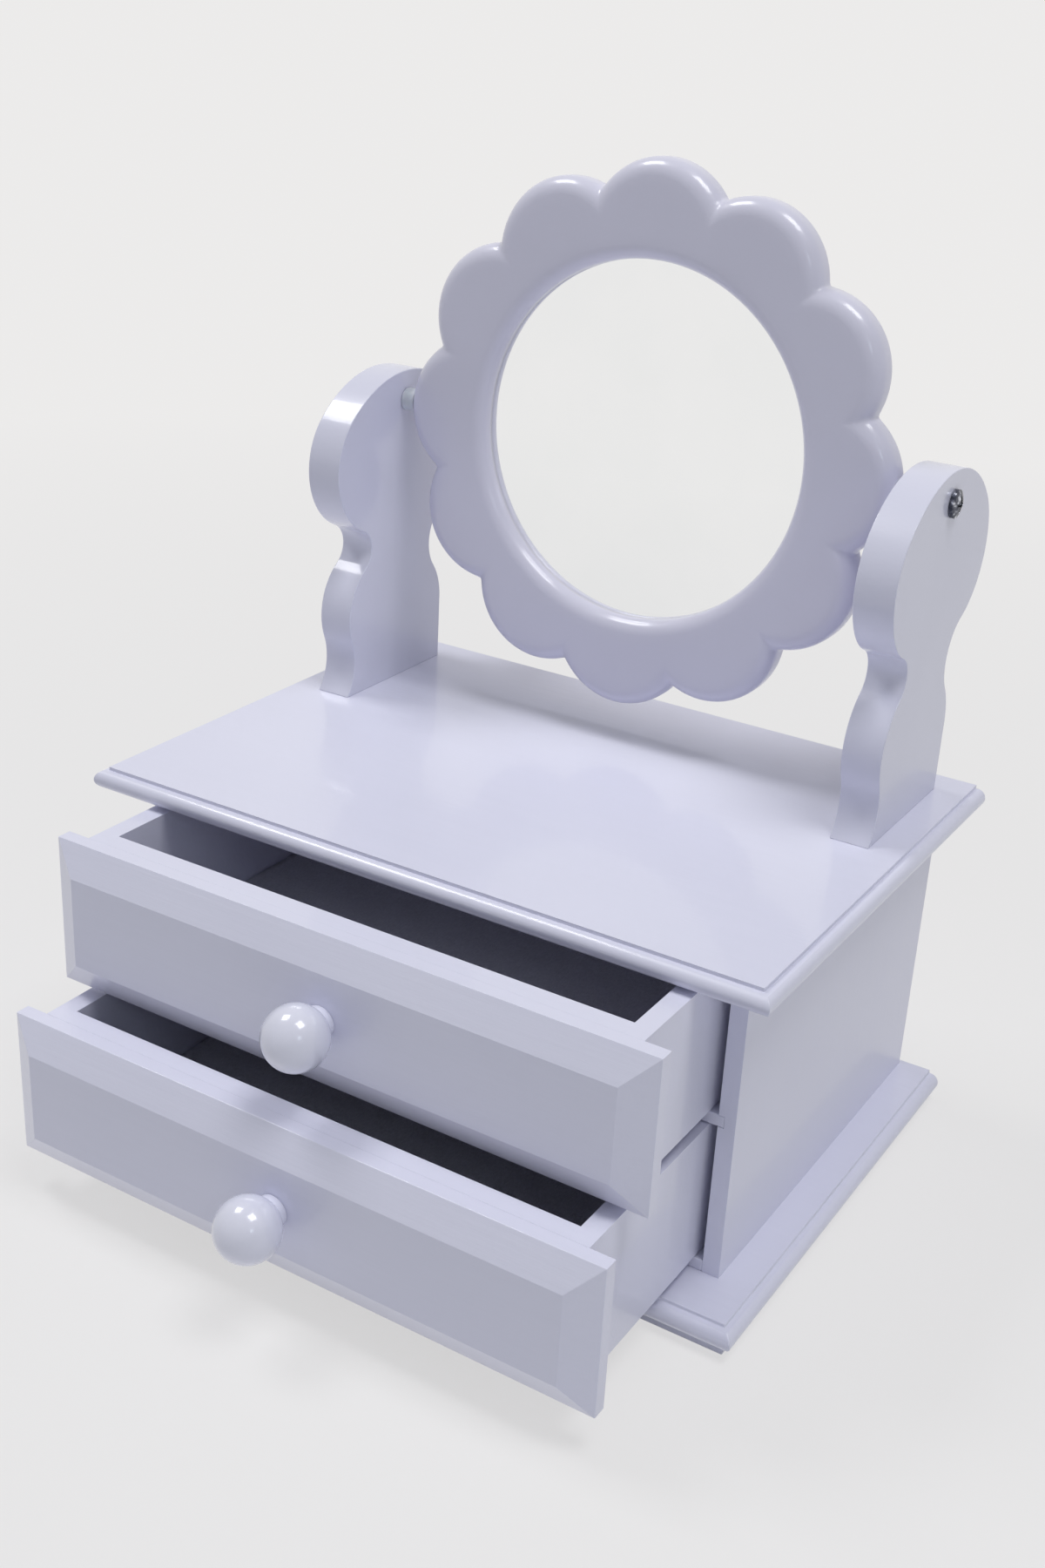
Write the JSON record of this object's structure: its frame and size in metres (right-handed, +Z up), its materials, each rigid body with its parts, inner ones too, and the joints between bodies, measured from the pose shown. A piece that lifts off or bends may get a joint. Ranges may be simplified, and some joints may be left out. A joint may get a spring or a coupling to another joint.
{
  "type": "vanity box with mirror",
  "caption": "White painted vanity box with open drawers and a round scalloped mirror that tilts between two wavy posts on its top",
  "frame": {"origin": "middle of the base board's underside", "axes": "+Z up, drawers open towards -Y, +X to the right seen from the front"},
  "size_m": [0.3, 0.3135, 0.3925],
  "materials": {
    "white_paint": "semi-gloss white paint on wood",
    "knob_gloss": "gloss white paint on turned wood",
    "felt": "pale grey felt",
    "mirror": "silvered glass",
    "hardboard": "bare hardboard",
    "beech": "bare beech",
    "steel": "zinc plated",
    "nylon": "natural white nylon",
    "dark_steel": "blackened"
  },
  "bodies": {
    "cabinet": {"base_board": "white_paint", "top_board": "white_paint", "left_side_panel": "white_paint", "right_side_panel": "white_paint", "cabinet_floor": "white_paint", "drawer_divider": "white_paint", "back_panel": "white_paint", "left_post": "white_paint", "right_post": "white_paint", "back_panel_pins": "steel", "post_screws": "steel", "carcass_dowels": "beech"},
    "upper_drawer": {"upper_drawer_face": "white_paint", "upper_drawer_front": "white_paint", "upper_drawer_left_side": "white_paint", "upper_drawer_right_side": "white_paint", "upper_drawer_back": "white_paint", "upper_drawer_bottom": "white_paint", "upper_drawer_felt": "felt", "upper_drawer_knob": "knob_gloss", "upper_drawer_pins": "steel", "upper_drawer_knob_screw": "steel"},
    "lower_drawer": {"lower_drawer_face": "white_paint", "lower_drawer_front": "white_paint", "lower_drawer_left_side": "white_paint", "lower_drawer_right_side": "white_paint", "lower_drawer_back": "white_paint", "lower_drawer_bottom": "white_paint", "lower_drawer_felt": "felt", "lower_drawer_knob": "knob_gloss", "lower_drawer_pins": "steel", "lower_drawer_knob_screw": "steel"},
    "mirror": {"mirror_frame": "white_paint", "mirror_glass": "mirror", "mirror_backing": "hardboard", "backing_clips": "steel", "backing_clip_screws": "steel", "pivot_spacers": "nylon", "left_pivot_screw": "dark_steel", "right_pivot_screw": "dark_steel"}
  },
  "joints": [
    {"name": "upper_drawer_slide", "type": "slide", "parent": "cabinet", "child": "upper_drawer", "axis": [0, -1, 0], "range_m": [-0.058, 0.062]},
    {"name": "lower_drawer_slide", "type": "slide", "parent": "cabinet", "child": "lower_drawer", "axis": [0, -1, 0], "range_m": [-0.085, 0.035]},
    {"name": "mirror_tilt", "type": "hinge", "parent": "cabinet", "child": "mirror", "pos_m": [0, 0.0605, 0.2814], "axis": [1, 0, 0], "range_deg": [-180, 180]}
  ]
}
